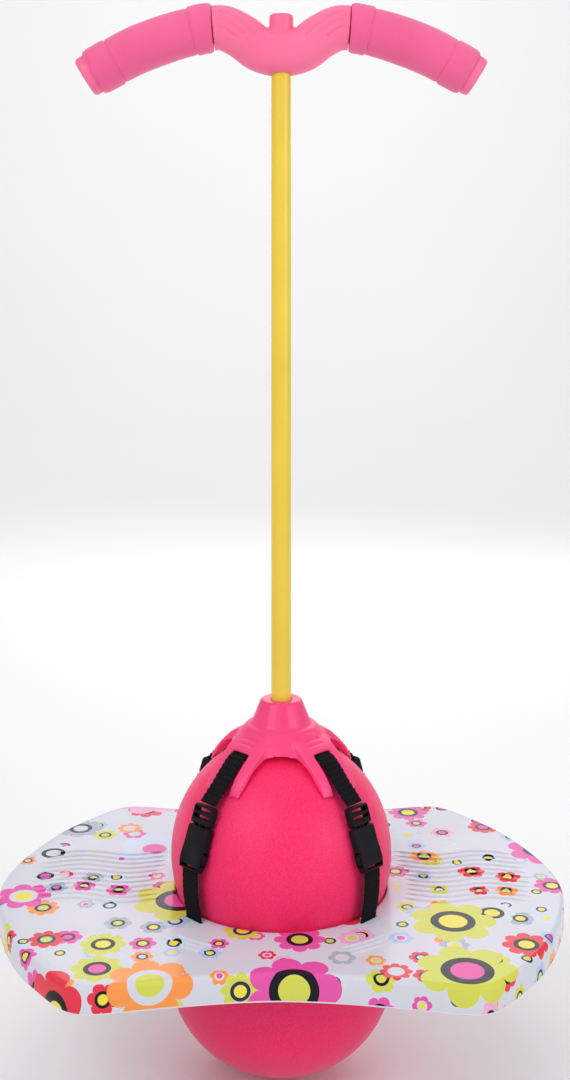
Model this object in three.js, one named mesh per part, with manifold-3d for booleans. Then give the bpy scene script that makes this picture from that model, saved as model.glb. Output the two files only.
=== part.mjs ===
// Jumping board with a T-handle. An inflated ball is pinched in the hole of a wide hollow plastic
// deck. A four-armed crown sits on the ball and carries the steel pole, with a moulded gull-wing
// handlebar on top. Four webbing straps with side-release buckles tie the crown to the deck.
// Millimetres, +Z up, origin on the floor under the ball, -Y is the front.
import * as THREE from 'three';
import { mergeVertices } from 'three/addons/utils/BufferGeometryUtils.js';
import Module from 'manifold-3d';

const wasm = await Module();
wasm.setup();

// Ball: a lower bulge, a waist held by the deck and an upper bulge.
const BALL_LOWER_Z = 92;
const BALL_LOWER_R = 106;
const BALL_UPPER_Z = 201;
const BALL_UPPER_R = 104.5;
const BALL_WAIST_R = 98.6;
const BALL_WALL = 3;
const FLOOR_PATCH_R = 18;
const BALL_SEGMENTS = 36;
const VALVE_ELEVATION = THREE.MathUtils.degToRad(20);
const VALVE_HOLE_R = 4;

// Deck: a moulded tray, open below.
const DECK_BOTTOM = 144;
const DECK_TOP = 168;
const DECK_PLATE = 4.5;
const DECK_EDGE = 4;
const DECK_RIM_WALL = 5;
const DECK_RIB = 3;
const DECK_RIB_PITCH = 50;
const DECK_HOLE_R = 100;
const DECK_HUB_R = 104;
// Right front quarter of the outline, from the middle of the front edge to the right end.
const DECK_QUARTER = [
  [0, -175], [45, -178], [85, -184], [125, -191.5], [150, -196], [168, -195.5], [184, -185],
  [205, -160], [229, -125], [249, -80], [262, -36], [266, 0],
];
const DECK_OUTLINE_STEPS = 72;

// Straps and buckles, laid out in the upright plane through each arm: distance from the axis, height.
const STRAP_WIDTH = 20;
const STRAP_THICKNESS = 1.8;
const STRAP_AZIMUTH = 46;
const UPPER_STRAP = [[46, 302], [52, 302], [58, 300], [64, 295], [71, 288], [78, 281], [85.5, 274], [92.4, 267.6]];
const LOWER_STRAP = [[113.2, 213.3], [113.4, 206], [112.6, 190], [110, 176], [108.6, 167], [108.4, 155]];
const BUCKLE_CENTRE = [103.1, 240];
const BUCKLE_TILT = THREE.MathUtils.degToRad(20.7);
const BUCKLE_LENGTH = 56;
const CLIP_LENGTH = 17;
const CLIP_WIDTH = 24;
const SOCKET_WIDTH = 26;
const SOCKET_START = 18.5;
const BUCKLE_THICKNESS = 10;
const PRONG_THICKNESS = 4.6;
const KEEPER_Z = 159.5;
const STRAP_CORNERS = {
  front_left: -STRAP_AZIMUTH,
  front_right: STRAP_AZIMUTH,
  back_right: 180 - STRAP_AZIMUTH,
  back_left: STRAP_AZIMUTH - 180,
};

// Crown
const COLLAR_TOP = 344;
const COLLAR_TOP_R = 19;
const COLLAR_FOOT = 320;
const COLLAR_FOOT_R = 28;
const CROWN_INNER_R = 106.2;
const ARM_WIDTH = 44;
const ARM_PROFILE = [
  [0, 322], [29, 322], [31, 318.5], [43, 312], [51, 307.5], [57, 302], [64, 295.5], [71, 288],
  [76, 280.5], [78.5, 274], [76, 262], [0, 262],
];
const HUB_PROFILE = [[0, 322], [28, 322], [33, 320.5], [38, 315.5], [48, 303.5], [48, 290], [0, 290]];
const ARCH_R = 34;
const ARCH_TOP = 304;
const NOTCH_START = 52;
const NOTCH_WIDTH = 22.4;

// Pole and handlebar
const POLE_R = 9.5;
const POLE_BORE_R = 8.3;
const POLE_BOTTOM = 313.5;
const POLE_TOP = 987;
const SOCKET_BORE_R = 9.85;
const CROWN_SCREW_Z = 333;
const HANDLE_SCREW_Z = 957;
const WING_R = 21.5;
const CORE_R = 14;
const TIP_R = 20;
const GRIP_R = 23;
const GRIP_BAND_R = 23.8;
const GRIP_BORE_R = 14.6;
const BOSS_R = 11.6;
const BOSS_TOP = 995;
const WING_PATH = [[0, 957], [20, 961.5], [36, 973], [50, 980.5], [58, 982.4], [65, 982]];
const BAR_PATH = [[62, 982.4], [72, 981.6], [82, 979.5], [105.5, 973], [136, 961.7], [159, 950], [178, 939.4], [187, 934]];
const GRIP_SPAN = [0.05, 0.92];
const GRIP_COLLAR_END = 0.17;
const GRIP_RING_START = 0.76;
const TIP_START = 0.935;

const MATERIALS = {
  ball: new THREE.MeshStandardMaterial({ color: 0xff2e6c, roughness: 0.45 }),
  deck: new THREE.MeshStandardMaterial({ color: 0xf2f0fb, roughness: 0.25 }),
  crown: new THREE.MeshStandardMaterial({ color: 0xff3f7c, roughness: 0.4 }),
  handle: new THREE.MeshStandardMaterial({ color: 0xff76a0, roughness: 0.45 }),
  grip: new THREE.MeshStandardMaterial({ color: 0xf0609a, roughness: 0.8 }),
  pole: new THREE.MeshStandardMaterial({ color: 0xf2cf3c, roughness: 0.35, metalness: 0.2 }),
  webbing: new THREE.MeshStandardMaterial({ color: 0x15131a, roughness: 0.9 }),
  buckle: new THREE.MeshStandardMaterial({ color: 0x121116, roughness: 0.35 }),
  plug: new THREE.MeshStandardMaterial({ color: 0xf4f1ee, roughness: 0.5 }),
  steel: new THREE.MeshStandardMaterial({ color: 0xb8bcc2, roughness: 0.3, metalness: 1 }),
};

const root = new THREE.Group();

// ---- Solids -----------------------------------------------------------------------------------

// A closed three.js geometry as a solid, its shared corners merged and its faces pointing out.
function solid(geometry) {
  const bare = geometry.clone();
  bare.deleteAttribute('normal');
  bare.deleteAttribute('uv');
  const merged = mergeVertices(bare, 1e-3);
  const positions = merged.attributes.position.array;
  const index = merged.index.array;
  const triangles = [];
  let volume = 0;
  for (let i = 0; i < index.length; i += 3) {
    const [a, b, c] = [index[i], index[i + 1], index[i + 2]];
    if (a === b || b === c || c === a) continue;
    triangles.push([a, b, c]);
    const [p, q, r] = [a, b, c].map((v) => new THREE.Vector3().fromArray(positions, 3 * v));
    volume += p.dot(q.cross(r));
  }
  const outward = volume > 0 ? triangles : triangles.map(([a, b, c]) => [a, c, b]);
  return new wasm.Manifold(new wasm.Mesh({
    numProp: 3,
    vertProperties: positions,
    triVerts: Uint32Array.from(outward.flat()),
  }));
}

function union(...solids) {
  return solids.reduce((whole, piece) => whole.add(piece));
}

function cut(whole, ...tools) {
  return tools.reduce((left, tool) => left.subtract(tool), whole);
}

function addPiece(name, shape, material, parent = root) {
  const { vertProperties, triVerts } = shape.getMesh();
  const geometry = new THREE.BufferGeometry();
  geometry.setAttribute('position', new THREE.BufferAttribute(vertProperties, 3));
  geometry.setIndex(new THREE.BufferAttribute(triVerts, 1));
  geometry.computeVertexNormals();
  const mesh = new THREE.Mesh(geometry, material);
  mesh.name = name;
  parent.add(mesh);
}

function block(width, depth, height, x, y, z) {
  return solid(new THREE.BoxGeometry(width, depth, height).translate(x, y, z));
}

// A cylinder upright from bottom to top.
function post(radius, bottom, top, sides = 24) {
  const geometry = new THREE.CylinderGeometry(radius, radius, top - bottom, sides);
  return solid(geometry.rotateX(Math.PI / 2).translate(0, 0, (bottom + top) / 2));
}

// A cylinder along Y from one y to another, at height z.
function crossRod(radius, fromY, toY, z, sides = 16) {
  const geometry = new THREE.CylinderGeometry(radius, radius, Math.abs(toY - fromY), sides);
  return solid(geometry.translate(0, (fromY + toY) / 2, z));
}

// A solid of revolution about Z. The profile is a list of radius and height.
function turned(profile, sides) {
  const points = profile.map(([radius, z]) => new THREE.Vector2(radius, z));
  return solid(new THREE.LatheGeometry(points, sides).rotateX(Math.PI / 2));
}

// A round bar along a curve, from one share of its length to another.
function bar(curve, radius, from, to, steps, halfSides = 8) {
  const points = [];
  for (let i = 0; i <= steps; i += 1) {
    points.push(curve.getPointAt(from + ((to - from) * i) / steps));
  }
  const section = new THREE.Shape().absarc(0, 0, radius, 0, Math.PI * 2);
  const extrudePath = new THREE.CatmullRomCurve3(points);
  return solid(new THREE.ExtrudeGeometry(section, { steps, curveSegments: halfSides, extrudePath }));
}

// A flat outline in an arm's upright plane, given as distance from the axis and height, made
// width thick across the plane. The plane faces the front.
function acrossPlane(points, width) {
  const shape = new THREE.Shape(points.map(([rho, z]) => new THREE.Vector2(rho, z)));
  const geometry = new THREE.ExtrudeGeometry(shape, { depth: width, bevelEnabled: false });
  geometry.translate(0, 0, -width / 2);
  const basis = new THREE.Matrix4().makeBasis(
    new THREE.Vector3(0, -1, 0),
    new THREE.Vector3(0, 0, 1),
    new THREE.Vector3(-1, 0, 0),
  );
  return solid(geometry.applyMatrix4(basis));
}

// A strip of webbing along a line of points in an arm's upright plane.
function webbing(line) {
  const middle = line.map(([rho, z]) => new THREE.Vector2(rho, z));
  const sides = [[], []];
  middle.forEach((point, i) => {
    const before = middle[Math.max(i - 1, 0)];
    const after = middle[Math.min(i + 1, middle.length - 1)];
    const along = after.clone().sub(before).normalize();
    const offset = new THREE.Vector2(-along.y, along.x).multiplyScalar(STRAP_THICKNESS / 2);
    sides[0].push(point.clone().add(offset).toArray());
    sides[1].unshift(point.clone().sub(offset).toArray());
  });
  return acrossPlane([...sides[0], ...sides[1]], STRAP_WIDTH);
}

function atAzimuth(shape, degrees) {
  return shape.rotate([0, 0, degrees]);
}

// ---- Ball and valve ---------------------------------------------------------------------------

// The ball's half section, set in by an inset on every side.
function ballProfile(inset, stepsPerBulge) {
  const lowerR = BALL_LOWER_R - inset;
  const upperR = BALL_UPPER_R - inset;
  const waistR = BALL_WAIST_R - inset;
  const rise = BALL_LOWER_Z - inset;
  const profile = [[0, inset], [FLOOR_PATCH_R, inset]];
  for (let i = 1; i <= stepsPerBulge; i += 1) {
    const angle = (-78 * (1 - i / stepsPerBulge) * Math.PI) / 180;
    profile.push([lowerR * Math.cos(angle), BALL_LOWER_Z + rise * Math.sin(angle)]);
  }
  profile.push([lowerR - 2.4, BALL_LOWER_Z + 30], [waistR, DECK_BOTTOM], [waistR, DECK_TOP]);
  for (let i = 0; i <= stepsPerBulge; i += 1) {
    const angle = THREE.MathUtils.degToRad(-15 + (105 * i) / stepsPerBulge);
    profile.push([upperR * Math.cos(angle), BALL_UPPER_Z + upperR * Math.sin(angle)]);
  }
  profile[profile.length - 1][0] = 0;
  return profile;
}

// Turns something made along +Z at the origin so that it points out of the ball at the valve.
function atValve(shape, distance) {
  const tilt = 90 - THREE.MathUtils.radToDeg(VALVE_ELEVATION);
  const y = distance * Math.cos(VALVE_ELEVATION);
  const z = BALL_UPPER_Z + distance * Math.sin(VALVE_ELEVATION);
  return shape.rotate([-tilt, 0, 0]).translate([0, y, z]);
}

function makeBall() {
  const skin = turned(ballProfile(0, 9), BALL_SEGMENTS);
  const air = turned(ballProfile(BALL_WALL, 5), BALL_SEGMENTS / 2);
  const valveHole = atValve(post(VALVE_HOLE_R, -12, 6), BALL_UPPER_R);
  addPiece('ball', cut(skin, air, valveHole), MATERIALS.ball);
  const plug = turned([[0, -9], [2.6, -9], [3.4, -6], [3.4, 0.9], [7, 0.9], [7, 2], [5.5, 3.2], [0, 3.2]], 20);
  addPiece('valve_plug', atValve(plug, BALL_UPPER_R), MATERIALS.plug);
}

// ---- Deck -------------------------------------------------------------------------------------

function deckOutline(inset) {
  const shareX = 1 - inset / 266;
  const shareY = 1 - inset / 196;
  const quarter = DECK_QUARTER.map(([x, y]) => [x * shareX, y * shareY]);
  const right = [...quarter, ...quarter.slice(0, -1).reverse().map(([x, y]) => [x, -y])];
  const left = right.slice(1, -1).reverse().map(([x, y]) => [-x, y]);
  const corners = [...right, ...left].map(([x, y]) => new THREE.Vector3(x, y, 0));
  const curve = new THREE.CatmullRomCurve3(corners, true);
  const points = curve.getPoints(DECK_OUTLINE_STEPS).slice(0, -1);
  return new THREE.Shape(points.map((point) => new THREE.Vector2(point.x, point.y)));
}

function deckSlab() {
  const geometry = new THREE.ExtrudeGeometry(deckOutline(DECK_EDGE), {
    depth: DECK_TOP - DECK_BOTTOM,
    bevelThickness: DECK_EDGE,
    bevelSize: DECK_EDGE,
    bevelSegments: 2,
  });
  const tall = solid(geometry.translate(0, 0, DECK_BOTTOM - DECK_EDGE));
  return cut(tall, block(600, 500, 20, 0, 0, DECK_BOTTOM - 10));
}

function deckHollow() {
  const height = DECK_TOP - DECK_PLATE - DECK_BOTTOM;
  const geometry = new THREE.ExtrudeGeometry(deckOutline(DECK_RIM_WALL + 1), {
    depth: height + 5,
    bevelEnabled: false,
  });
  const tray = solid(geometry.translate(0, 0, DECK_BOTTOM - 5));
  const middle = DECK_BOTTOM + height / 2;
  const ribs = [];
  for (let x = -4 * DECK_RIB_PITCH; x <= 4 * DECK_RIB_PITCH; x += DECK_RIB_PITCH) {
    ribs.push(block(DECK_RIB, 500, height + 20, x, 0, middle));
  }
  for (let y = -3 * DECK_RIB_PITCH; y <= 3 * DECK_RIB_PITCH; y += DECK_RIB_PITCH) {
    ribs.push(block(600, DECK_RIB, height + 20, 0, y, middle));
  }
  return cut(tray, post(DECK_HUB_R, DECK_BOTTOM - 9, DECK_TOP, BALL_SEGMENTS), ...ribs);
}

function makeDeck() {
  const slots = Object.values(STRAP_CORNERS).map((azimuth) => {
    const slot = block(STRAP_WIDTH + 2, 4, 60, 0, -108.6, DECK_TOP);
    return atAzimuth(slot, azimuth);
  });
  const hole = post(DECK_HOLE_R, DECK_BOTTOM - 9, DECK_TOP + 9, BALL_SEGMENTS);
  addPiece('deck', cut(deckSlab(), deckHollow(), hole, ...slots), MATERIALS.deck);
}

// ---- Crown ------------------------------------------------------------------------------------

function makeCrown() {
  const collar = turned(
    [[0, COLLAR_FOOT], [COLLAR_FOOT_R, COLLAR_FOOT], [COLLAR_FOOT_R, 323], [COLLAR_TOP_R + 1, COLLAR_TOP - 1.5],
      [COLLAR_TOP_R - 1, COLLAR_TOP], [0, COLLAR_TOP]],
    24,
  );
  const armTurn = turned(ARM_PROFILE, 32);
  const arms = Object.values(STRAP_CORNERS).map((azimuth) => {
    const reach = block(ARM_WIDTH, 90, 90, 0, -45, 300);
    return armTurn.intersect(atAzimuth(reach, azimuth));
  });
  const notches = Object.values(STRAP_CORNERS).flatMap((azimuth) => [
    atAzimuth(block(NOTCH_WIDTH, 40, 90, 0, -NOTCH_START - 20, 290), azimuth),
    atAzimuth(block(STRAP_WIDTH + 1.4, 12, 3.2, 0, -50.5, 302), azimuth),
  ]);
  const archAlongY = crossRod(ARCH_R, -120, 120, ARCH_TOP - ARCH_R, 32);
  const arches = [archAlongY, archAlongY.rotate([0, 0, 90])];
  const ballSpace = solid(new THREE.SphereGeometry(CROWN_INNER_R, 32, 20)
    .rotateX(Math.PI / 2)
    .translate(0, 0, BALL_UPPER_Z));
  const poleBore = post(SOCKET_BORE_R, POLE_BOTTOM - 0.4, COLLAR_TOP + 5);
  const screwHole = crossRod(2.4, -14, 40, CROWN_SCREW_Z);
  const headSeat = crossRod(4.6, 19, 40, CROWN_SCREW_Z);
  const body = union(collar, turned(HUB_PROFILE, 32), ...arms);
  const crown = cut(body, ...notches, ...arches, ballSpace, poleBore, screwHole, headSeat);
  addPiece('crown', crown, MATERIALS.crown);
}

// ---- Pole and its fastenings ------------------------------------------------------------------

function makePole() {
  const tube = cut(
    post(POLE_R, POLE_BOTTOM, POLE_TOP),
    post(POLE_BORE_R, POLE_BOTTOM - 5, POLE_TOP + 5),
    crossRod(2.4, -15, 15, CROWN_SCREW_Z),
    crossRod(2.4, -15, 15, HANDLE_SCREW_Z),
  );
  addPiece('pole', tube, MATERIALS.pole);
  addPiece('pole_foot_plug', post(7.9, POLE_BOTTOM + 0.2, POLE_BOTTOM + 14), MATERIALS.buckle);
  addPiece('pole_top_plug', post(7.9, POLE_TOP - 14, POLE_TOP - 0.2), MATERIALS.buckle);
  [['crown_screw', CROWN_SCREW_Z], ['handle_screw', HANDLE_SCREW_Z]].forEach(([name, z]) => {
    const shank = crossRod(2, -13.5, 18.8, z, 10);
    const head = crossRod(4.2, 18.6, 21, z);
    const drive = block(5.5, 2, 1.2, 0, 21, z);
    addPiece(name, cut(union(shank, head.translate([0, 0.7, 0]), crossRod(2, 18, 20, z, 10)), drive), MATERIALS.steel);
  });
}

// ---- Handlebar and grips ----------------------------------------------------------------------

function curveOf(points) {
  return new THREE.CatmullRomCurve3(points.map(([x, z]) => new THREE.Vector3(x, 0, z)));
}

function makeHandlebar() {
  const mirrored = WING_PATH.slice(1).reverse().map(([x, z]) => [-x, z]);
  const wings = bar(curveOf([...mirrored, ...WING_PATH]), WING_R, 0, 1, 14);
  const boss = turned([[0, 950], [BOSS_R, 950], [BOSS_R, BOSS_TOP - 2], [BOSS_R - 2, BOSS_TOP], [0, BOSS_TOP]], 28);
  const pieces = [boss];
  [-1, 1].forEach((side) => {
    const curve = curveOf(BAR_PATH.map(([x, z]) => [side * x, z]));
    pieces.push(bar(curve, CORE_R, 0, 1, 6, 6), bar(curve, TIP_R, TIP_START, 1, 2));
    const outer = union(
      bar(curve, GRIP_R, GRIP_SPAN[0] + 0.01, GRIP_SPAN[1] - 0.01, 8),
      bar(curve, GRIP_BAND_R, GRIP_SPAN[0], GRIP_COLLAR_END, 2),
      bar(curve, GRIP_BAND_R - 0.3, GRIP_RING_START, GRIP_SPAN[1], 2),
    );
    const grip = cut(outer, bar(curve, GRIP_BORE_R, 0, 1, 6, 6));
    addPiece(side < 0 ? 'grip_left' : 'grip_right', grip, MATERIALS.grip);
  });
  const handlebar = cut(
    union(wings, ...pieces),
    post(SOCKET_BORE_R, 900, POLE_TOP + 0.4),
    crossRod(2.4, -14, 40, HANDLE_SCREW_Z),
    crossRod(4.6, 19, 40, HANDLE_SCREW_Z),
  );
  addPiece('handlebar', handlebar, MATERIALS.handle);
}

// ---- Straps and buckles -----------------------------------------------------------------------

// A flat outline in a buckle's own plane: x across it, y down from its upper end. It is made
// thick along the buckle's face normal, z, and its edges are bevelled by bevel.
function buckleShape(points, thickness, bevel = 0) {
  const shape = new THREE.Shape(points.map(([x, y]) => new THREE.Vector2(x, y)));
  const geometry = new THREE.ExtrudeGeometry(shape, {
    depth: thickness - 2 * bevel,
    bevelEnabled: bevel > 0,
    bevelThickness: bevel,
    bevelSize: bevel,
    bevelOffset: -bevel,
    bevelSegments: 1,
  });
  return solid(geometry.translate(0, 0, -thickness / 2 + bevel));
}

function mirroredOutline(rightSide) {
  return [...rightSide, ...rightSide.slice().reverse().map(([x, y]) => [-x, y])];
}

function makeClip() {
  const half = CLIP_WIDTH / 2;
  const base = mirroredOutline([[half - 2, 0], [half, 2], [half, CLIP_LENGTH - 1], [half - 1, CLIP_LENGTH]]);
  const tongue = block(5, 23, 3.4, 0, CLIP_LENGTH + 11, 0);
  const slot = (y) => block(STRAP_WIDTH + 0.8, 3.4, 20, 0, y, 0);
  return cut(union(buckleShape(base, BUCKLE_THICKNESS - 1, 1), tongue), slot(4.2), slot(10.4));
}

function makeSocket() {
  const half = SOCKET_WIDTH / 2;
  const outline = mirroredOutline([
    [half - 1.5, SOCKET_START], [half, SOCKET_START + 1.5], [half, 37], [half + 0.8, 40], [half + 0.8, 49],
    [half - 0.5, 52.5], [half - 1.5, BUCKLE_LENGTH],
  ]);
  const throat = block(22, 40, 6, 0, SOCKET_START + 9.5, 0);
  const windows = block(60, 12.5, 6, 0, 44.5, 0);
  const webSlot = block(STRAP_WIDTH + 0.8, 2.4, 20, 0, 53, 0);
  return cut(buckleShape(outline, BUCKLE_THICKNESS, 1.2), throat, windows, webSlot);
}

// One of the clip's two springy arms, with the tab that is squeezed in the socket's window.
function makeProng(side) {
  const outline = [
    [7, 17.4], [10, 17.4], [10.3, 38.5], [14, 42], [14.4, 45.5], [13.6, 49], [10, 50.2], [7.6, 47], [7, 36],
  ];
  return buckleShape(outline.map(([x, y]) => [side * x, y]), PRONG_THICKNESS);
}

// Places a shape made in a buckle's own plane on the ball's flank, in the plane facing the front.
function onFlank(shape) {
  const turn = new THREE.Matrix4().makeBasis(
    new THREE.Vector3(-1, 0, 0),
    new THREE.Vector3(0, -Math.sin(BUCKLE_TILT), -Math.cos(BUCKLE_TILT)),
    new THREE.Vector3(0, -Math.cos(BUCKLE_TILT), Math.sin(BUCKLE_TILT)),
  );
  const place = new THREE.Matrix4().makeTranslation(0, -BUCKLE_CENTRE[0], BUCKLE_CENTRE[1]);
  const centred = new THREE.Matrix4().makeTranslation(0, -BUCKLE_LENGTH / 2, 0);
  return shape.transform(place.multiply(turn).multiply(centred).elements);
}

function makeKeeper() {
  const plate = block(28, 9, 4, 0, -109.4, KEEPER_Z);
  return cut(plate, block(STRAP_WIDTH + 1.4, 3.2, 20, 0, -108.5, KEEPER_Z));
}

function makeStraps() {
  Object.entries(STRAP_CORNERS).forEach(([corner, azimuth]) => {
    const group = new THREE.Group();
    group.rotation.z = THREE.MathUtils.degToRad(azimuth);
    root.add(group);
    addPiece(`upper_strap_${corner}`, webbing(UPPER_STRAP), MATERIALS.webbing, group);
    addPiece(`buckle_clip_${corner}`, onFlank(makeClip()), MATERIALS.buckle, group);
    addPiece(`prong_a_${corner}`, onFlank(makeProng(-1)), MATERIALS.buckle, group);
    addPiece(`prong_b_${corner}`, onFlank(makeProng(1)), MATERIALS.buckle, group);
    addPiece(`buckle_socket_${corner}`, onFlank(makeSocket()), MATERIALS.buckle, group);
    addPiece(`lower_strap_${corner}`, webbing(LOWER_STRAP), MATERIALS.webbing, group);
    addPiece(`strap_keeper_${corner}`, makeKeeper(), MATERIALS.buckle, group);
  });
}

makeBall();
makeDeck();
makeCrown();
makePole();
makeHandlebar();
makeStraps();

export default root;
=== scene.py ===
"""Looks of the jumping board with a T-handle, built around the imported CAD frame. Metres."""
import math

import bmesh
import bpy
import numpy as np
from mathutils import Matrix, Vector


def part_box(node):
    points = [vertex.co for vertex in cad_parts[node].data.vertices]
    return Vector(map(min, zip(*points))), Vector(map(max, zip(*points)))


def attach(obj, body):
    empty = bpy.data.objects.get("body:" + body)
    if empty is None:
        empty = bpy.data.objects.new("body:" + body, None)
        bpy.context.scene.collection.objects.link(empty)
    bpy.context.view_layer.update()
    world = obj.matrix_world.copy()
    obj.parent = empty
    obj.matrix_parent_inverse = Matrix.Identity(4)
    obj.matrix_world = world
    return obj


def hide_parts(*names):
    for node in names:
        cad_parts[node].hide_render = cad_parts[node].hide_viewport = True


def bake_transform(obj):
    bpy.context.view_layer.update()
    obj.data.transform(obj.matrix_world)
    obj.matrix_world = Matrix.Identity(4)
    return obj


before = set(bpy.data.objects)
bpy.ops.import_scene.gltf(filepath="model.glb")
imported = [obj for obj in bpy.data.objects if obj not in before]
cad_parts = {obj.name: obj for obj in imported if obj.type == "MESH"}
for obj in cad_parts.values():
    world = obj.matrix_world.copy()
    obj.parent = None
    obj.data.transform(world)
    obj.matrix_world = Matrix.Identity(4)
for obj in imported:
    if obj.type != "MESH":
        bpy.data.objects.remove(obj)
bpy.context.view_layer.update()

MM = 0.001
CORNERS = {"front_left": -46, "front_right": 46, "back_right": 134, "back_left": -134}
DECK_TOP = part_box("deck")[1].z
DECK_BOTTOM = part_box("deck")[0].z
DECK_HALF = (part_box("deck")[1].x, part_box("deck")[1].y)
DECK_HOLE_R = 0.100
DECK_HUB_R = 0.104
BALL_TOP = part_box("ball")[1].z
BALL_UPPER_R = 0.1045
BALL_UPPER_Z = BALL_TOP - BALL_UPPER_R
BALL_LOWER_Z = 0.092
POLE_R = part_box("pole")[1].x


# ---- Materials ---------------------------------------------------------------------------------

class Shader:
    """A material's node tree, with short calls that return an output socket."""

    def __init__(self, name, color=(0.8, 0.8, 0.8), roughness=0.5, **values):
        self.material = bpy.data.materials.new(name)
        self.material.use_nodes = True
        self.material.diffuse_color = (*color, 1)
        self.tree = self.material.node_tree
        self.bsdf = self.tree.nodes["Principled BSDF"]
        self.bsdf.inputs["Base Color"].default_value = (*color, 1)
        self.bsdf.inputs["Roughness"].default_value = roughness
        for key, value in values.items():
            self.bsdf.inputs[key.replace("_", " ")].default_value = value

    def node(self, kind, inputs=(), **settings):
        made = self.tree.nodes.new(kind)
        for key, value in settings.items():
            setattr(made, key, value)
        for key, value in dict(inputs).items():
            self.put(made.inputs[key], value)
        return made

    def put(self, socket, value):
        if isinstance(value, bpy.types.NodeSocket):
            self.tree.links.new(value, socket)
        else:
            socket.default_value = value

    def math(self, operation, *values):
        made = self.node("ShaderNodeMath", operation=operation)
        for socket, value in zip(made.inputs, values):
            self.put(socket, value)
        return made.outputs[0]

    def vector(self, operation, *values, output=0):
        made = self.node("ShaderNodeVectorMath", operation=operation)
        for socket, value in zip(made.inputs, values):
            self.put(socket, value)
        return made.outputs[output]

    def mix(self, share, first, second):
        made = self.node("ShaderNodeMix", data_type="RGBA")
        colours = [s for s in made.inputs if s.type == "RGBA"]
        self.put(made.inputs[0], share)
        for socket, value in zip(colours, (first, second)):
            self.put(socket, (*value, 1) if isinstance(value, tuple) and len(value) == 3 else value)
        return [s for s in made.outputs if s.type == "RGBA"][0]

    def ramp(self, value, stops, steps=False):
        made = self.node("ShaderNodeValToRGB", inputs={0: value})
        ramp = made.color_ramp
        ramp.interpolation = "CONSTANT" if steps else "LINEAR"
        while len(ramp.elements) < len(stops):
            ramp.elements.new(1)
        for element, (place, colour) in zip(ramp.elements, stops):
            element.position = place
            element.color = (*colour, 1)
        return made.outputs[0]

    def noise(self, scale, detail=3.0, coords=None):
        made = self.node("ShaderNodeTexNoise", inputs={"Scale": scale, "Detail": detail})
        self.put(made.inputs["Vector"], coords or self.coords())
        return made.outputs[0]

    def coords(self, output="Object"):
        return self.node("ShaderNodeTexCoord").outputs[output]

    def bump(self, height, distance, strength=1.0):
        made = self.node("ShaderNodeBump", inputs={
            "Height": height, "Distance": distance, "Strength": strength})
        self.put(self.bsdf.inputs["Normal"], made.outputs[0])

    def vary(self, color, other, scale, low=0.35, high=0.65):
        """Base colour that drifts between two colours in soft patches."""
        share = self.node("ShaderNodeMapRange", inputs={0: self.noise(scale), 1: low, 2: high}).outputs[0]
        self.put(self.bsdf.inputs["Base Color"], self.mix(share, color, other))

    def rough(self, scale, low, high):
        spread = self.node("ShaderNodeMapRange", inputs={
            0: self.noise(scale), 1: 0.3, 2: 0.7, 3: low, 4: high})
        self.put(self.bsdf.inputs["Roughness"], spread.outputs[0])


def moulded(name, color, other, grain, roughness, depth=0.00006, **values):
    """Moulded plastic or vinyl: faint patches of colour, fine grain and a little uneven gloss."""
    shader = Shader(name, color, roughness, **values)
    shader.vary(color, other, 14)
    shader.rough(60, roughness - 0.06, roughness + 0.08)
    shader.bump(shader.noise(grain, 4), depth)
    return shader.material


def ball_material():
    """Inflated vinyl: a fine pebbled grain that also speckles the colour, and a soft bloom at the edges."""
    shader = Shader("ball_vinyl", (0.98, 0.016, 0.125), 0.42, Specular_IOR_Level=0.3,
                    Sheen_Weight=0.3, Sheen_Roughness=0.4, Sheen_Tint=(1, 0.5, 0.75, 1))
    grain = shader.noise(850, 3)
    colour = shader.ramp(grain, [(0.36, (0.92, 0.014, 0.110)), (0.64, (1.0, 0.032, 0.175))])
    shader.put(shader.bsdf.inputs["Base Color"], colour)
    shader.rough(60, 0.36, 0.48)
    shader.bump(grain, 0.0003)
    return shader.material


WEAVE_RIB = 0.0014
WEAVE_THREAD = 0.0011


def webbing_material():
    """Black webbing: ribs across the strip, split into threads, from the strip's own UV in metres."""
    shader = Shader("webbing", (0.008, 0.007, 0.010), 0.8, Specular_IOR_Level=0.12)
    across, along, _ = shader.node("ShaderNodeSeparateXYZ", inputs={0: shader.coords("UV")}).outputs
    rib = shader.math("ABSOLUTE", shader.math("SINE", shader.math("MULTIPLY", along, math.pi / WEAVE_RIB)))
    turns = shader.math("MULTIPLY", across, math.pi / WEAVE_THREAD)
    thread = shader.math("ABSOLUTE", shader.math("SINE", turns))
    weave = shader.math("MULTIPLY", rib, shader.math("ADD", shader.math("MULTIPLY", thread, 0.5), 0.5))
    # The colour follows the weave height: darker in the troughs between ribs and threads, a painted shade,
    # and lighter on their tops
    colour = shader.mix(weave, (0.002, 0.002, 0.003), (0.013, 0.011, 0.016))
    shader.put(shader.bsdf.inputs["Base Color"], colour)
    shader.bump(weave, 0.0004)
    return shader.material


def steel_material():
    shader = Shader("zinc_steel", (0.62, 0.63, 0.66), 0.3, Metallic=1.0)
    shader.vary((0.66, 0.67, 0.7), (0.5, 0.5, 0.52), 300)
    shader.bump(shader.noise(1500, 2), 0.00002)
    return shader.material


def pole_material():
    """Satin yellow paint: slight orange peel and a few dull rubbed patches."""
    shader = Shader("yellow_paint", (0.86, 0.62, 0.045), 0.34, Coat_Weight=0.25, Coat_Roughness=0.2)
    shader.vary((0.88, 0.645, 0.05), (0.82, 0.58, 0.038), 9)
    shader.rough(35, 0.28, 0.42)
    shader.bump(shader.noise(420, 3), 0.00003)
    return shader.material


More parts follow.
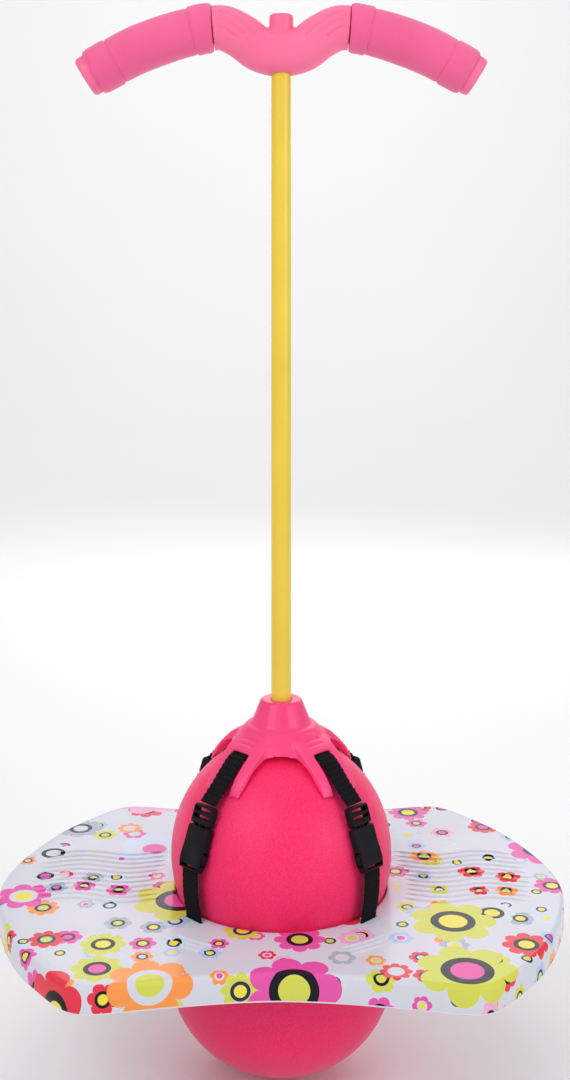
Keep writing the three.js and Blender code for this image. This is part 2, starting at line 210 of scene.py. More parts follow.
# Print colours
WHITE = (0.67, 0.675, 0.77)
PINK = (0.80, 0.10, 0.42)
PALE_PINK = (0.86, 0.42, 0.66)
ORANGE = (0.95, 0.33, 0.08)
RED = (0.80, 0.045, 0.075)
SKY = (0.45, 0.58, 0.84)
PALE_SKY = (0.62, 0.72, 0.90)
NAVY = (0.025, 0.035, 0.12)
BLACK = (0.012, 0.010, 0.018)
GREY = (0.42, 0.47, 0.58)
PALE_GREY = (0.66, 0.70, 0.76)
YELLOW = (0.86, 0.74, 0.08)
LIME = (0.66, 0.68, 0.10)
# Stops along a random value from 0 to 1 that pick a printed flower's colours.
PETAL_COLOURS = [
    (0, PALE_PINK), (0.1, SKY), (0.2, PALE_SKY), (0.3, PALE_GREY), (0.44, PINK),
    (0.56, ORANGE), (0.66, LIME), (0.76, GREY), (0.86, RED),
]
RING_COLOURS = [(0, WHITE), (0.25, NAVY), (0.6, WHITE), (0.72, BLACK)]
CORE_COLOURS = [(0, YELLOW), (0.25, LIME), (0.5, WHITE), (0.62, PINK), (0.8, YELLOW)]
RING_SHARE = 0.52
CORE_SHARE = 0.33
# Printed flowers, small to large: cell and radius in metres, share of cells used, seed, petals.
FLOWER_SIZES = (
    (0.033, 0.0125, 0.85, 3.1, 6),
    (0.060, 0.0210, 0.62, 11.7, 8),
    (0.125, 0.0400, 0.75, 23.9, 7),
)


def petal_edge(shader, local, lobes, radius, depth=0.3):
    """Distance from a flower's centre, divided by its outline's radius that way and by its full radius."""
    x, y, _ = shader.node("ShaderNodeSeparateXYZ", inputs={0: local}).outputs
    angle = shader.math("ARCTAN2", y, x)
    wave = shader.math("ABSOLUTE", shader.math("COSINE", shader.math("MULTIPLY", angle, lobes)))
    lobe = shader.math("MULTIPLY_ADD", shader.math("POWER", wave, 0.55), depth, 1 - depth)
    length = shader.vector("LENGTH", local, output=1)
    outline = shader.math("DIVIDE", length, shader.math("MULTIPLY", lobe, radius))
    return outline, shader.math("DIVIDE", length, radius)


def flower_layer(shader, base, place, cell, radius, share, seed, petals):
    """Scattered flowers with ringed middles, at most one in each cell of a jittered grid."""
    moved = shader.vector("ADD", place, (seed, seed * 0.37, 0))
    cells = shader.node("ShaderNodeTexVoronoi", voronoi_dimensions="2D", inputs={
        "Vector": moved, "Scale": 1 / cell, "Randomness": 0.6})
    local = shader.vector("SUBTRACT", moved, cells.outputs["Position"])
    first, second, third = shader.node("ShaderNodeSeparateColor", inputs={0: cells.outputs["Color"]}).outputs
    size = shader.math("MULTIPLY_ADD", third, radius * 0.5, radius * 0.6)
    outline, disc = petal_edge(shader, local, petals / 2, size)
    petal = shader.ramp(first, PETAL_COLOURS, steps=True)
    core = shader.ramp(second, CORE_COLOURS, steps=True)
    ring = shader.ramp(third, RING_COLOURS, steps=True)
    chosen = shader.math("LESS_THAN", shader.math("FRACT", shader.math("MULTIPLY", first, 7.31)), share)
    colour = base
    for reach, edge, paint in ((outline, 1.0, petal), (disc, RING_SHARE, ring), (disc, CORE_SHARE, core)):
        inside = shader.math("MULTIPLY", chosen, shader.math("LESS_THAN", reach, edge))
        colour = shader.mix(inside, colour, paint)
    return colour


def deck_material():
    """Glossy white plastic with a printed pattern of flowers that runs on over the rim."""
    shader = Shader("printed_deck", WHITE, 0.24, Specular_IOR_Level=0.10,
                    Coat_Weight=0.05, Coat_Roughness=0.08)
    place = shader.coords("UV")
    colour = WHITE
    for size in FLOWER_SIZES:
        colour = flower_layer(shader, colour, place, *size)
    shader.put(shader.bsdf.inputs["Base Color"], colour)
    shader.rough(50, 0.16, 0.27)
    shader.bump(shader.noise(160, 2), 0.00004)
    return shader.material


BALL = ball_material()
CROWN = moulded("crown_plastic", (0.98, 0.062, 0.230), (0.94, 0.050, 0.200), 900, 0.34,
               Specular_IOR_Level=0.4)
HANDLE = moulded("handle_plastic", (0.98, 0.175, 0.345), (0.94, 0.15, 0.305), 900, 0.4,
                Specular_IOR_Level=0.35)
GRIP = moulded("grip_foam", (0.89, 0.115, 0.310), (0.84, 0.098, 0.275), 2200, 0.72, 0.00018,
               Sheen_Weight=0.3, Sheen_Roughness=0.5)
BUCKLE = moulded("buckle_plastic", (0.006, 0.005, 0.008), (0.010, 0.009, 0.012), 1800, 0.42,
                Specular_IOR_Level=0.12)
DARK_PLUG = moulded("plug_plastic", (0.02, 0.02, 0.022), (0.03, 0.03, 0.032), 1500, 0.45)
VALVE = moulded("valve_plastic", (0.86, 0.85, 0.82), (0.8, 0.79, 0.76), 1500, 0.4)
UNDERSIDE = moulded("deck_plastic", (0.80, 0.80, 0.86), (0.76, 0.76, 0.82), 500, 0.35)
WEBBING = webbing_material()
STEEL = steel_material()
PAINT = pole_material()
PRINT = deck_material()


# ---- Mesh helpers ------------------------------------------------------------------------------

def make_object(name, vertices, faces, *materials, smooth=True):
    mesh = bpy.data.meshes.new(name)
    mesh.from_pydata([tuple(v) for v in vertices], [], faces)
    made = bpy.data.objects.new(name, mesh)
    bpy.context.scene.collection.objects.link(made)
    for material in materials:
        mesh.materials.append(material)
    for polygon in mesh.polygons:
        polygon.use_smooth = smooth
    return made


def face_out(made):
    work = bmesh.new()
    work.from_mesh(made.data)
    bmesh.ops.recalc_face_normals(work, faces=work.faces)
    work.to_mesh(made.data)
    work.free()


def apply_modifiers(made):
    bpy.context.view_layer.update()
    shape = bpy.data.meshes.new_from_object(made.evaluated_get(bpy.context.evaluated_depsgraph_get()))
    made.modifiers.clear()
    made.data = shape


def lathe(name, profile, sides, *materials, scale=MM):
    """A solid of revolution about Z from a profile of radius and height that starts and ends on the axis."""
    vertices, faces, rings = [], [], []
    for radius, z in profile:
        if radius < 1e-6:
            rings.append([len(vertices)] * sides)
            vertices.append((0, 0, z * scale))
            continue
        rings.append(list(range(len(vertices), len(vertices) + sides)))
        for i in range(sides):
            angle = 2 * math.pi * i / sides
            vertices.append((radius * scale * math.cos(angle), radius * scale * math.sin(angle), z * scale))
    for low, high in zip(rings, rings[1:]):
        for i in range(sides):
            j = (i + 1) % sides
            corners = list(dict.fromkeys((low[i], low[j], high[j], high[i])))
            if len(corners) > 2:
                faces.append(corners)
    made = make_object(name, vertices, faces, *materials)
    face_out(made)
    return made


def spline(points, count, closed=False):
    """Points evenly spread along a Catmull-Rom curve through the given points."""
    points = np.array(points, float)
    size = len(points)
    fine = []
    for i in range(size if closed else size - 1):
        if closed:
            p0, p1, p2, p3 = (points[(i + k) % size] for k in (-1, 0, 1, 2))
        else:
            p1, p2 = points[i], points[i + 1]
            p0 = points[i - 1] if i else 2 * p1 - p2
            p3 = points[i + 2] if i + 2 < size else 2 * p2 - p1
        t = np.linspace(0, 1, 24, endpoint=False)[:, None]
        fine.append(0.5 * (2 * p1 + (p2 - p0) * t + (2 * p0 - 5 * p1 + 4 * p2 - p3) * t**2
                           + (3 * p1 - p0 - 3 * p2 + p3) * t**3))
    fine = np.vstack(fine + [points[:1] if closed else points[-1:]])
    lengths = np.concatenate([[0], np.cumsum(np.linalg.norm(np.diff(fine, axis=0), axis=1))])
    wanted = np.linspace(0, lengths[-1], count + 1 if closed else count)
    spread = np.column_stack([np.interp(wanted, lengths, fine[:, k]) for k in range(points.shape[1])])
    return spread[:-1] if closed else spread


def tube(name, path, radii, sides, *materials, end_radii=()):
    """A round bar along a path in the XZ plane. Each station has its own radius, and end_radii are further
    rings in the plane of each end, from its edge inwards."""
    path = np.array(path)
    along = np.gradient(path, axis=0)
    along /= np.linalg.norm(along, axis=1)[:, None]
    extra = len(end_radii)
    path, along = (np.vstack([a[:1]] * extra + [a] + [a[-1:]] * extra) for a in (path, along))
    radii = [*reversed(end_radii), *radii, *end_radii]
    vertices = []
    for (x, z), (ax, az), radius in zip(path, along, radii):
        for i in range(sides):
            angle = 2 * math.pi * i / sides
            up, out = math.sin(angle) * radius, math.cos(angle) * radius
            vertices.append((x - az * up, out, z + ax * up))
    faces = [list(range(sides))[::-1], list(range(len(vertices) - sides, len(vertices)))]
    for ring in range(len(path) - 1):
        for i in range(sides):
            j = (i + 1) % sides
            a, b = ring * sides, (ring + 1) * sides
            faces.append((a + i, a + j, b + j, b + i))
    made = make_object(name, vertices, faces, *materials)
    face_out(made)
    return made


def block(name, size, centre, azimuth=0.0):
    """A box in millimetres, turned about Z by an azimuth in degrees. The azimuth 0 faces the front."""
    work = bmesh.new()
    bmesh.ops.create_cube(work, size=1)
    place = (Matrix.Rotation(math.radians(azimuth), 4, "Z") @ Matrix.Translation(Vector(centre) * MM)
             @ Matrix.Diagonal((*(Vector(size) * MM), 1)))
    bmesh.ops.transform(work, matrix=place, verts=work.verts)
    bmesh.ops.recalc_face_normals(work, faces=work.faces)
    mesh = bpy.data.meshes.new(name)
    work.to_mesh(mesh)
    work.free()
    made = bpy.data.objects.new(name, mesh)
    bpy.context.scene.collection.objects.link(made)
    return made


def cylinder(name, radius, start, end, sides=48):
    """A cylinder in millimetres between two points."""
    work = bmesh.new()
    start, end = Vector(start) * MM, Vector(end) * MM
    bmesh.ops.create_cone(work, cap_ends=True, segments=sides, radius1=radius * MM, radius2=radius * MM,
                          depth=(end - start).length)
    turn = (end - start).to_track_quat("Z", "Y").to_matrix().to_4x4()
    bmesh.ops.transform(work, matrix=Matrix.Translation((start + end) / 2) @ turn, verts=work.verts)
    bmesh.ops.recalc_face_normals(work, faces=work.faces)
    mesh = bpy.data.meshes.new(name)
    work.to_mesh(mesh)
    work.free()
    made = bpy.data.objects.new(name, mesh)
    bpy.context.scene.collection.objects.link(made)
    return made


def combine(made, operation, *tools):
    for tool in tools:
        modifier = made.modifiers.new(operation, "BOOLEAN")
        modifier.operation = operation
        modifier.object = tool
        modifier.solver = "EXACT"
        apply_modifiers(made)
        bpy.data.objects.remove(tool)


def soften(made, voxel, passes):
    """Remeshes a solid finely and smooths it, so that its edges run into each other as moulded ones."""
    remesh = made.modifiers.new("remesh", "REMESH")
    remesh.mode = "VOXEL"
    remesh.voxel_size = voxel
    smooth = made.modifiers.new("smooth", "SMOOTH")
    smooth.factor = 0.5
    smooth.iterations = passes
    apply_modifiers(made)


def finish_piece(made, body, slot, material, *nodes):
    if not made.data.materials:
        made.data.materials.append(material)
    for polygon in made.data.polygons:
        polygon.use_smooth = True
    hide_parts(*nodes)
    if body:
        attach(made, body)
    return made


def copied(node, name):
    """A CAD piece's own shape, welded and without its materials."""
    made = bpy.data.objects.new(name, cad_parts[node].data.copy())
    bpy.context.scene.collection.objects.link(made)
    made.data.materials.clear()
    work = bmesh.new()
    work.from_mesh(made.data)
    bmesh.ops.remove_doubles(work, verts=work.verts, dist=2e-5)
    bmesh.ops.dissolve_limit(work, angle_limit=math.radians(1.0), verts=work.verts, edges=work.edges)
    work.to_mesh(made.data)
    work.free()
    return made


def bevelled(node, body, slot, material, width, name):
    """A CAD piece's own shape with rounded edges."""
    made = copied(node, name)
    bevel = made.modifiers.new("bevel", "BEVEL")
    bevel.width = width
    bevel.segments = 3
    bevel.limit_method = "ANGLE"
    bevel.angle_limit = math.radians(32)
    bevel.harden_normals = True
    apply_modifiers(made)
    return finish_piece(made, body, slot, material, node)


# ---- Camera, light and floor -------------------------------------------------------------------

CAMERA_DISTANCE = 1.335
CAMERA_HEIGHT = 0.745


def make_camera():
    """Level camera in front of the board, its frame shifted down to take in the whole height."""
    camera = bpy.data.cameras.new("camera")
    camera.lens = 46.73
    camera.sensor_width = 36
    camera.shift_x = 0.0035
    camera.shift_y = -0.2435
    made = bpy.data.objects.new("camera", camera)
    made.location = (0, -CAMERA_DISTANCE, CAMERA_HEIGHT)
    made.rotation_euler = (math.pi / 2, 0, 0)
    bpy.context.scene.collection.objects.link(made)
    bpy.context.scene.camera = made


# Area lights: name, place, the point aimed at, size in metres, power in watts.
LIGHTS = (
    ("key", (-1.6, -1.9, 2.3), (0, 0, 0.45), (1.6, 1.6), 34),
    ("fill", (2.1, -1.5, 1.3), (0, 0, 0.4), (1.5, 1.8), 21),
    ("top", (0, 0.3, 2.9), (0, 0, 0.3), (1.8, 1.8), 9),
    ("back", (0.3, 2.4, 1.6), (0, 0, 0.5), (2.0, 1.2), 14),
    ("wall", (0, 2.2, 2.8), (0, 4.4, 0.9), (3.5, 0.6), 30),
)
SKY_LIGHT = 0.5


def make_light(name, location, target, size, power):
    light = bpy.data.lights.new(name, "AREA")
    light.shape = "RECTANGLE"
    light.size, light.size_y = size
    light.energy = power
    made = bpy.data.objects.new(name, light)
    made.location = location
    made.rotation_euler = (Vector(target) - Vector(location)).to_track_quat("-Z", "Y").to_euler()
    bpy.context.scene.collection.objects.link(made)


def make_studio():
    floor = Shader("studio_floor", (0.93, 0.93, 0.935), 0.6)
    floor.vary((0.93, 0.93, 0.935), (0.915, 0.915, 0.92), 0.8)
    profile = spline([(-6, 0), (-2, 0), (2, 0), (3, 0), (3.8, 0.25), (4.3, 1.0), (4.5, 2.5), (4.5, 6)], 48)
    vertices = [(x, y, z) for y, z in profile for x in (-8, 8)]
    faces = [(2 * i, 2 * i + 1, 2 * i + 3, 2 * i + 2) for i in range(len(profile) - 1)]
    make_object("studio_sweep", vertices, faces, floor.material)
    for light in LIGHTS:
        make_light(*light)
    world = bpy.data.worlds.new("studio_world")
    world.use_nodes = True
    background = world.node_tree.nodes["Background"]
    background.inputs[0].default_value = (1, 1, 1, 1)
    background.inputs[1].default_value = SKY_LIGHT
    bpy.context.scene.world = world
    bpy.context.scene.view_settings.view_transform = "Standard"


# ---- Ball and valve ----------------------------------------------------------------------------

LOWER_BULGE_R = 106
UPPER_BULGE_R = 104.5
WAIST = [(98.7, 146), (98.6, 152), (98.6, 160), (98.7, 165), (98.8, 167.4)]


def make_ball():
    """The inflated ball with its two bulges and the waist that the deck's hole pinches."""
    profile = [(0, 0), (10, 0)]
    for angle in np.radians(np.linspace(-81, 0, 44)):
        profile.append((LOWER_BULGE_R * math.cos(angle), BALL_LOWER_Z / MM * (1 + math.sin(angle))))
    profile[2:2] = [(15, 0.2)]
    for z in (100, 110, 120, 128, 136, 142):
        profile.append((LOWER_BULGE_R - 7.2 * ((z - 92) / 52) ** 2, z))
    profile += WAIST
    for angle in np.radians(np.linspace(-17.5, 90, 52)):
        radius = max(UPPER_BULGE_R * math.cos(angle), 0)
        profile.append((radius, BALL_UPPER_Z / MM + UPPER_BULGE_R * math.sin(angle)))
    profile[-1] = (0, BALL_TOP / MM)
    ball = lathe("ball_skin", profile, 144, BALL)
    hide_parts("ball")
    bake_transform(ball)
    plug = bevelled("valve_plug", "valve_plug", "valve", VALVE, 0.0005, "valve_plug_visual")
    return ball, plug


# ---- Deck --------------------------------------------------------------------------------------

DECK_QUARTER = [
    (0, -175), (45, -178), (85, -184), (125, -191.5), (150, -196), (168, -195.5), (184, -185),
    (205, -160), (229, -125), (249, -80), (262, -36), (266, 0),
]
DECK_LOOP = 480
EDGE_R = 0.0045
PLATE = 0.0045
RIM_WALL = 0.0065
STRAP_SLOT = (22, 4, 60)
STRAP_SLOT_RHO = 108.6
RIDGE_HALF_WIDTH = 0.0020
RIDGE_HEIGHT = 0.0014
RIDGE_ROWS = 11
RIDGE_PITCH = 10.6
WAVE_HEIGHT = 4.6
WAVE_LENGTH = 94
HOLE_ARCS = (139, 145.5, 152)
RIB_PITCH = 50
RIB_THICKNESS = 2.6
RIB_HUB_R = 103.5


def deck_outline():
    """The deck's plan outline, evenly spaced, with its outward normals."""
    right = DECK_QUARTER + [(x, -y) for x, y in DECK_QUARTER[-2::-1]]
    left = [(-x, y) for x, y in right[-2:0:-1]]
    outline = spline(right + left, DECK_LOOP, closed=True) * MM
    outline[:, 0] *= DECK_HALF[0] / outline[:, 0].max()
    outline[:, 1] *= DECK_HALF[1] / outline[:, 1].max()
    along = np.roll(outline, -1, axis=0) - np.roll(outline, 1, axis=0)
    normal = np.column_stack([along[:, 1], -along[:, 0]])
    normal /= np.linalg.norm(normal, axis=1)[:, None]
    return outline, normal


def ridge(points, half_width, height):
    """Vertices, faces and UVs of a low rounded ridge along a line on the deck's top."""
    points = np.array(points)
    along = np.gradient(points, axis=0)
    along /= np.linalg.norm(along, axis=1)[:, None]
    side = np.column_stack([-along[:, 1], along[:, 0]])
    fade = np.clip(np.minimum(np.arange(len(points)), np.arange(len(points))[::-1]) / 4, 0, 1)
    rows = []
    shoulder = 0.55 * height
    for across, rise in ((-1, -0.0004), (-0.7, shoulder), (0, height), (0.7, shoulder), (1, -0.0004)):
        flat = points + side * across * half_width * np.maximum(fade, 0.15)[:, None]
        lift = np.where(rise > 0, rise * fade, rise)
        rows.append(np.column_stack([flat, DECK_TOP + lift]))
    grid = np.stack(rows, axis=1)
    count = len(points)
    starts = [5 * i + k for i in range(count - 1) for k in range(4)]
    faces = [(start, start + 1, start + 6, start + 5) for start in starts]
    return grid.reshape(-1, 3), faces


def foot_ridges():
    """Wavy anti-slip lines on both foot fields and fine arcs round the hole, as lines on the deck."""
    lines = []
    for side in (-1, 1):
        for row in range(RIDGE_ROWS):
            y0 = 70 - RIDGE_PITCH * row
            start = max(112, math.sqrt(max(0, 118**2 - y0**2)))
            x = np.arange(start, 244 - abs(y0 - 17) * 0.22, 2.5)
            y = y0 + WAVE_HEIGHT * np.cos((x - 196) * 2 * math.pi / WAVE_LENGTH)
            lines.append(np.column_stack([side * x, y]) * MM)
    for side in (-1, 1):
        for front in (-1, 1):
            for radius in HOLE_ARCS:
                angle = np.radians(np.arange(46, 70, 1.2))
                arc = [side * radius * np.cos(angle), front * radius * np.sin(angle)]
                lines.append(np.column_stack(arc) * MM)
    return lines


def make_deck():
    outline, normal = deck_outline()
    angle = np.arctan2(outline[:, 1], outline[:, 0])
    ray = np.column_stack([np.cos(angle), np.sin(angle)])
    loops = []  # plan points, height, UV points

    def add(points, z, uv=None):
        loops.append((points, z, points if uv is None else uv))

    add(ray * DECK_HOLE_R, DECK_BOTTOM)
    for rounding, drop in ((0, 0.0022), (0.0004, 0.0009), (0.0012, 0.0002)):
        add(ray * (DECK_HOLE_R + rounding), DECK_TOP - drop)
    inner = outline - normal * EDGE_R
    for share in np.linspace(0, 1, 26):
        add(ray * (DECK_HOLE_R + 0.0022) * (1 - share) + inner * share, DECK_TOP)
    for turn in np.radians(np.linspace(0, 90, 9)[1:]):
        arc = EDGE_R * turn
        edge = inner + normal * EDGE_R * math.sin(turn)
        add(edge, DECK_TOP - EDGE_R * (1 - math.cos(turn)), inner + normal * arc)
    side = EDGE_R * math.pi / 2
    for drop in (0.006, 0.012, 0.0175):
        add(outline, DECK_TOP - EDGE_R - drop, inner + normal * (side + drop))
    printed = len(loops) - 1
    for inset, z in ((0.0006, DECK_BOTTOM + 0.0006), (0.0016, DECK_BOTTOM), (0.0042, DECK_BOTTOM),
                     (0.005, DECK_BOTTOM + 0.0008), (0.0055, DECK_TOP - 0.0052),
                     (RIM_WALL, DECK_TOP - PLATE)):
        add(outline - normal * inset, z)
    for share in (0.35, 0.7):
        add((outline - normal * RIM_WALL) * (1 - share) + ray * DECK_HUB_R * share, DECK_TOP - PLATE)
    add(ray * (DECK_HUB_R + 0.001), DECK_TOP - PLATE)
    add(ray * DECK_HUB_R, DECK_TOP - 0.0055)
    add(ray * DECK_HUB_R, DECK_BOTTOM)
    vertices, uvs, faces, slots = [], [], [], []
    for points, z, uv in loops:
        vertices += [(x, y, z) for x, y in points]
        uvs += [tuple(p) for p in uv]
    for ring in range(len(loops)):
        following = (ring + 1) % len(loops)
        for i in range(DECK_LOOP):
            j = (i + 1) % DECK_LOOP
            a, b = ring * DECK_LOOP, following * DECK_LOOP
            faces.append((a + i, a + j, b + j, b + i))
            slots.append(0 if ring < printed else 1)
    deck = make_object("deck_board", vertices, faces, PRINT, UNDERSIDE)
    layer = deck.data.uv_layers.new(name="print")
    for polygon in deck.data.polygons:
        polygon.material_index = slots[polygon.index]
        for loop in polygon.loop_indices:
            layer.data[loop].uv = uvs[deck.data.loops[loop].vertex_index]
    face_out(deck)
    for name, azimuth in CORNERS.items():
        combine(deck, "DIFFERENCE", block("slot_" + name, STRAP_SLOT, (0, -STRAP_SLOT_RHO, 168), azimuth))
    join_ridges(deck)
    join_ribs(deck)
    for polygon in deck.data.polygons:
        polygon.use_smooth = True
    deck.modifiers.new("edges", "EDGE_SPLIT").split_angle = math.radians(50)
    apply_modifiers(deck)
    return finish_piece(deck, "frame", "deck", PRINT, "deck")


def join_meshes(target, other):
    work = bmesh.new()
    work.from_mesh(target.data)
    work.from_mesh(other.data)
    work.to_mesh(target.data)
    work.free()
    bpy.data.objects.remove(other)


def join_ridges(deck):
    vertices, faces = [], []
    for line in foot_ridges():
        points, quads = ridge(line, RIDGE_HALF_WIDTH, RIDGE_HEIGHT)
        faces += [tuple(len(vertices) + k for k in quad) for quad in quads]
        vertices += [tuple(p) for p in points]
    ridges = make_object("ridges", vertices, faces, PRINT)
    layer = ridges.data.uv_layers.new(name="print")
    for loop in ridges.data.loops:
        layer.data[loop.index].uv = vertices[loop.vertex_index][:2]
    join_meshes(deck, ridges)


def join_ribs(deck):
    """The stiffening grid under the deck, each rib cut to the stretches that lie inside the rim."""
    outline, _ = deck_outline()
    low, high = DECK_BOTTOM / MM + 1, DECK_TOP / MM - 4
    middle = (low + high) / 2
    spans = []
    for step in range(-4, 5):
        x = RIB_PITCH * step
        near = np.abs(outline[:, 0] / MM - x) < 4
        reach = np.abs(outline[near, 1]).min() / MM - 5
        hub = math.sqrt(max(RIB_HUB_R**2 - x**2, 0))
        for sign in (-1, 1):
            spans.append(((RIB_THICKNESS, reach - hub, high - low), (x, sign * (reach + hub) / 2, middle)))
    for step in range(-3, 4):
        y = RIB_PITCH * step
        near = np.abs(outline[:, 1] / MM - y) < 4
        reach = np.abs(outline[near, 0]).min() / MM - 5
        hub = math.sqrt(max(RIB_HUB_R**2 - y**2, 0))
        for sign in (-1, 1):
            spans.append(((reach - hub, RIB_THICKNESS, high - low), (sign * (reach + hub) / 2, y, middle)))
    for size, centre in spans:
        rib = block("rib", size, centre)
        rib.data.uv_layers.new(name="print")
        for polygon in rib.data.polygons:
            polygon.material_index = 1
        join_meshes(deck, rib)


# ---- Crown -------------------------------------------------------------------------------------

CROWN_VOXEL = 0.0009
CROWN_GROOVES = (34.5, 40.0, 45.5)  # distance from the axis, mm
GROOVE_WIDTH = 0.85
GROOVE_DEPTH = 0.9


def make_crown():
    """The crown's own shape, remeshed finely so that its edges run into each other as moulded ones."""
    crown = copied("crown", "crown_moulding")
    soften(crown, CROWN_VOXEL, 9)
    carve_grooves(crown)
    return finish_piece(crown, "frame", "crown", CROWN, "crown")


def carve_grooves(crown):
    """Three shallow grooves across the top of each arm."""
    points = np.array([v.co for v in crown.data.vertices]) / MM
    normals = np.array([v.normal for v in crown.data.vertices])
    depth = np.zeros(len(points))
    for azimuth in CORNERS.values():
        turn = math.radians(azimuth)
        outward = np.array([math.sin(turn), -math.cos(turn)])
        across = np.array([math.cos(turn), math.sin(turn)])
        reach = points[:, :2] @ outward
        sideways = np.abs(points[:, :2] @ across)
        for k, rho in enumerate(CROWN_GROOVES):
            near = np.exp(-(((reach - rho) / GROOVE_WIDTH) ** 2))
            depth += near * (sideways < 10.5 - k * 0.6) * (normals[:, 2] > 0.5) * (points[:, 2] > 300)
    moved = points - normals * (depth * GROOVE_DEPTH)[:, None]
    crown.data.vertices.foreach_set("co", (moved * MM).ravel().astype(np.float32))
    crown.data.update()


# ---- Pole, screws and plugs --------------------------------------------------------------------

def make_pole():
    low, high = (corner.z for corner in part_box("pole"))
    profile = [(8.3 * MM, low), (9.2 * MM, low), (POLE_R, low + 0.0006)]
    profile += [(POLE_R, z) for z in np.linspace(low + 0.002, high - 0.002, 40)]
    profile += [(POLE_R, high - 0.0006), (9.2 * MM, high), (8.3 * MM, high), (8.3 * MM, low)]
    pole = lathe("pole_tube", profile, 72, scale=1)
    finish_piece(pole, "frame", "pole", PAINT, "pole")
    for node in ("pole_foot_plug", "pole_top_plug"):
        bevelled(node, "frame", "end_plug", DARK_PLUG, 0.0008, node + "_visual")
    for node in ("crown_screw", "handle_screw"):
        bevelled(node, "frame", "steel", STEEL, 0.0003, node + "_visual")


# ---- Handlebar and grips -----------------------------------------------------------------------

WING = [(-65, 982), (-58, 982.4), (-50, 980.5), (-36, 973), (-20, 961.5), (0, 957),
        (20, 961.5), (36, 973), (50, 980.5), (58, 982.4), (65, 982)]
BAR = [(62, 982.4), (72, 981.6), (82, 979.5), (105.5, 973), (136, 961.7), (159, 950),
       (178, 939.4), (187, 934)]
BOSS = [(0, 950), (11.5, 950), (11.5, 992.6), (10.8, 994.3), (9.3, 995), (0, 995)]
WING_R = 0.0213
CORE_R = 0.0139
TIP_RADII = [0.0150] + [0.0198] * 8 + [0.0196, 0.0190, 0.0176]
HANDLE_VOXEL = 0.0010
WING_GROOVES = ((12.5, 26), (5.0, 33), (-2.5, 39))  # height above the bar's axis and inner end, mm
WING_GROOVE_WIDTH = 1.25
WING_GROOVE_DEPTH = 1.3
GRIP_START, GRIP_END = 11, 372  # stations of 400 along the bar


def make_handlebar():
    path = spline(WING, 90)
    wings = tube("handlebar_body", path * MM, [WING_R] * 90, 72)
    boss = lathe("boss", BOSS, 64)
    combine(wings, "UNION", boss)
    for side in (-1, 1):
        bar = spline([(side * x, z) for x, z in BAR], 60)
        combine(wings, "UNION", tube("core", bar[:58] * MM, [CORE_R] * 58, 40))
        end = spline(bar[53:], 12)
        combine(wings, "UNION", tube("tip", end * MM, TIP_RADII, 48))
    cut = cylinder("bore", 9.9, (0, 0, 900), (0, 0, 986), 64)
    seat = cylinder("seat", 4.7, (0, 18.6, 957), (0, 40, 957), 32)
    combine(wings, "DIFFERENCE", cut, seat)
    soften(wings, HANDLE_VOXEL, 5)
    carve_wing_grooves(wings)
    return finish_piece(wings, "frame", "handle", HANDLE, "handlebar")


def carve_wing_grooves(bar):
    """Three long grooves along the front and back of each wing, shorter from top to bottom."""
    points = np.array([v.co for v in bar.data.vertices]) / MM
    normals = np.array([v.normal for v in bar.data.vertices])
    path = spline(WING, 240)
    along = np.gradient(path, axis=0)
    along /= np.linalg.norm(along, axis=1)[:, None]
    plan = points[:, [0, 2]]
    nearest = np.array([np.argmin(((path - p) ** 2).sum(1)) for p in plan])
    away = plan - path[nearest]
    height = away[:, 1] * along[nearest, 0] - away[:, 0] * along[nearest, 1]
    x = np.abs(path[nearest, 0])
    depth = np.zeros(len(points))
    for level, inner in WING_GROOVES:
        line = np.exp(-(((height - level + 0.16 * (60 - x)) / WING_GROOVE_WIDTH) ** 2))
        ends = np.clip((x - inner) / 1.5, 0, 1) * np.clip((60.5 - x) / 1.5, 0, 1)
        depth += line * ends * (np.abs(normals[:, 1]) > 0.25)
    moved = points - normals * (depth * WING_GROOVE_DEPTH)[:, None]
    bar.data.vertices.foreach_set("co", (moved * MM).ravel().astype(np.float32))
    bar.data.update()


def grip_radius(share):
    """Outer radius in mm along a grip: an inner collar, a long barrel and an outer ring that rolls in."""
    if share < 0.02:
        return 22.4 + 70 * share
    if share < 0.155:
        return 23.8
    if share < 0.175:
        return 22.0
    if share < 0.80:
        return 22.5 + 0.45 * math.sin((share - 0.175) / 0.625 * math.pi)
    if share < 0.815:
        return 21.7
    if share < 0.955:
        return 23.3 - 4.0 * max(share - 0.88, 0)
    return 23.0 - 900 * (share - 0.955) ** 2


def make_grip(side):
    name = "grip_left" if side < 0 else "grip_right"
    whole = spline([(side * x, z) for x, z in BAR], 400)
    path = whole[GRIP_START:GRIP_END] * MM
    radii = [grip_radius(share) * MM for share in np.linspace(0, 1, len(path))]
    radii = list(np.convolve(np.pad(radii, 2, mode="edge"), np.ones(5) / 5, mode="valid"))
    grip = tube(name + "_sleeve", path, radii, 96, GRIP, end_radii=(radii[0] - 0.0012, 0.0150))
    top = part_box("grip_left")[1].z
    for vertex in grip.data.vertices:
        vertex.co.z = min(vertex.co.z, top)
    finish_piece(grip, "frame", "grip", GRIP, name)


# ---- Straps ------------------------------------------------------------------------------------

UPPER_STRAP = [(46, 302), (52, 302), (58, 300.2), (64, 295.4), (71, 288.4), (78, 281),
               (85.5, 274), (92.4, 267.6)]
LOWER_STRAP = [(113.2, 213.3), (113.4, 206), (112.6, 190), (110, 176), (108.6, 167), (108.4, 155)]
RIPPLE_PITCH = 5.2


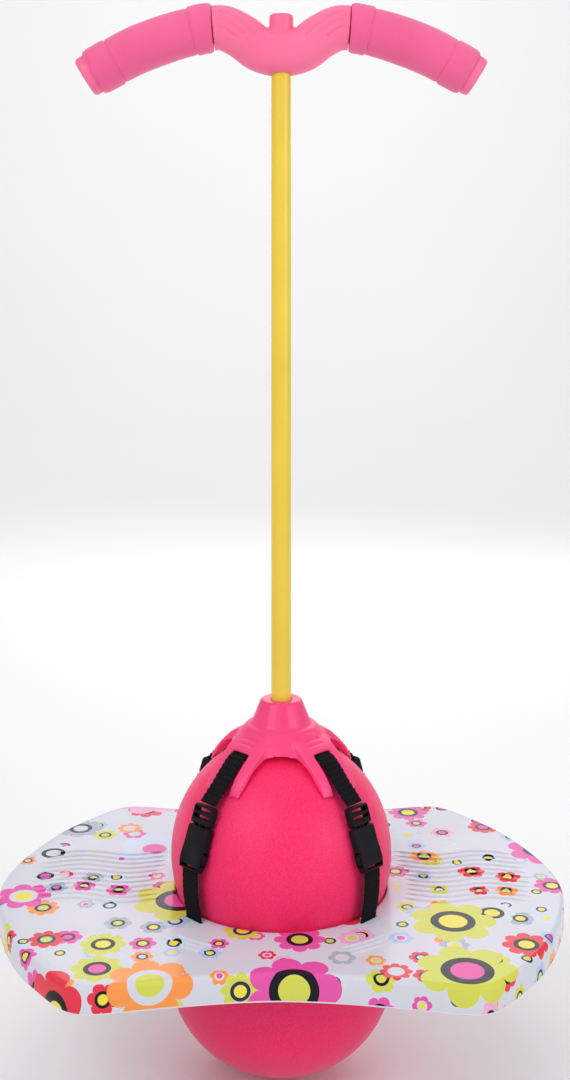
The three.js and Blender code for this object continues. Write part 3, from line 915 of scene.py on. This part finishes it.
def ribbon(name, line, azimuth, ripple, nodes):
    """A strip of webbing 20 mm wide with rounded edges along a line of distance and height, in mm."""
    length = np.linalg.norm(np.diff(np.array(line), axis=0), axis=1).sum()
    count = int(length / 0.7)
    path = spline(line, count)
    along = np.gradient(path, axis=0)
    along /= np.linalg.norm(along, axis=1)[:, None]
    out = np.column_stack([-along[:, 1], along[:, 0]])
    half, thick = 10.0, 0.9
    section = [(-half + 0.6, thick), (-half / 2, thick), (0, thick), (half / 2, thick), (half - 0.6, thick),
               (half, 0), (half - 0.6, -thick), (half / 2, -thick), (0, -thick), (-half / 2, -thick),
               (-half + 0.6, -thick), (-half, 0)]
    turn = math.radians(azimuth)
    vertices, uvs, faces = [], [], []
    for i, (centre, away) in enumerate(zip(path, out)):
        travel = i * length / (count - 1)
        wave = ripple * math.sin(travel * 2 * math.pi / RIPPLE_PITCH) * min(1, i / 8, (count - 1 - i) / 8)
        for across, lift in section:
            rho, z = centre + away * (lift + wave)
            x, y = across, -rho
            vertices.append(((x * math.cos(turn) - y * math.sin(turn)) * MM,
                             (x * math.sin(turn) + y * math.cos(turn)) * MM, z * MM))
            uvs.append((across * MM, travel * MM))
    sides = len(section)
    faces = [tuple(range(sides)), tuple(range(len(vertices) - sides, len(vertices)))]
    for ring in range(count - 1):
        for k in range(sides):
            j = (k + 1) % sides
            a, b = ring * sides, (ring + 1) * sides
            faces.append((a + k, a + j, b + j, b + k))
    strip = make_object(name, vertices, faces, WEBBING)
    layer = strip.data.uv_layers.new(name="weave")
    for loop in strip.data.loops:
        layer.data[loop.index].uv = uvs[loop.vertex_index]
    face_out(strip)
    return finish_piece(strip, "frame", "webbing", WEBBING, *nodes)


def make_straps():
    for corner, azimuth in CORNERS.items():
        ribbon("upper_webbing_" + corner, UPPER_STRAP, azimuth, 0.45, ["upper_strap_" + corner])
        ribbon("lower_webbing_" + corner, LOWER_STRAP, azimuth, 0.12, ["lower_strap_" + corner])
        for piece in ("buckle_clip", "buckle_socket", "strap_keeper"):
            node = f"{piece}_{corner}"
            bevelled(node, "frame", "buckle", BUCKLE, 0.0006, node + "_visual")
        for letter in "ab":
            node = f"prong_{letter}_{corner}"
            bevelled(node, node, "buckle", BUCKLE, 0.0005, node + "_visual")


make_camera()
make_studio()
make_ball()
make_deck()
make_crown()
make_pole()
make_handlebar()
make_grip(-1)
make_grip(1)
make_straps()
